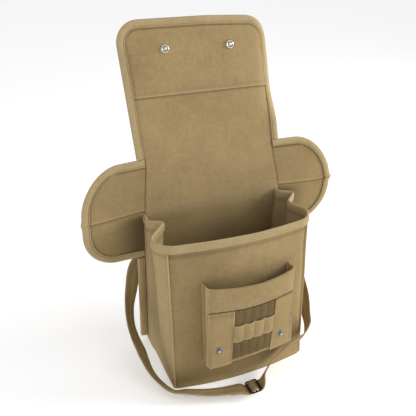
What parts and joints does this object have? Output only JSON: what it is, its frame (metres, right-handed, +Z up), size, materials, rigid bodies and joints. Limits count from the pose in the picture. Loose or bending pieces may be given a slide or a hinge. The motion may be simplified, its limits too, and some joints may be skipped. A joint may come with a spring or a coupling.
{
  "type": "map case",
  "caption": "Canvas shoulder map case standing open: bellows sides, long closing flap, two side wings, front pocket with pen loops and snap tabs, webbing strap with a slide.",
  "frame": {"origin": "on the floor under the middle of the body, where the base rests", "axes": "+X to the right seen from the front, +Y to the back, where the flap is hinged, +Z up; the pocket faces -Y"},
  "size_m": [0.4043, 0.2521, 0.4899],
  "materials": {
    "canvas": "khaki cotton canvas, matt",
    "binding": "khaki cotton tape, matt",
    "pen_cloth": "darker khaki twill, matt",
    "webbing": "khaki cotton webbing, matt",
    "snap_nickel": "nickel-plated, satin",
    "slide_steel": "blackened steel, gloss"
  },
  "bodies": {
    "root": {"back_and_flap": "canvas", "flap_facing": "canvas", "left_wing": "canvas", "right_wing": "canvas", "left_gusset": "canvas", "right_gusset": "canvas", "front_panel": "canvas", "base": "canvas", "pocket": "canvas", "pocket_floor": "canvas", "pocket_hem": "canvas", "left_tab": "canvas", "right_tab": "canvas", "pen_strip": "canvas", "flap_binding": "binding", "left_back_binding": "binding", "right_back_binding": "binding", "left_wing_binding": "binding", "right_wing_binding": "binding", "mouth_binding": "binding", "left_welt": "binding", "right_welt": "binding", "pen_backing": "pen_cloth", "shoulder_strap": "webbing", "strap_tail": "webbing", "left_snap_stud": "snap_nickel", "right_snap_stud": "snap_nickel", "left_snap_socket": "snap_nickel", "right_snap_socket": "snap_nickel", "left_snap_cap": "snap_nickel", "right_snap_cap": "snap_nickel", "strap_slide": "slide_steel"}
  },
  "joints": []
}
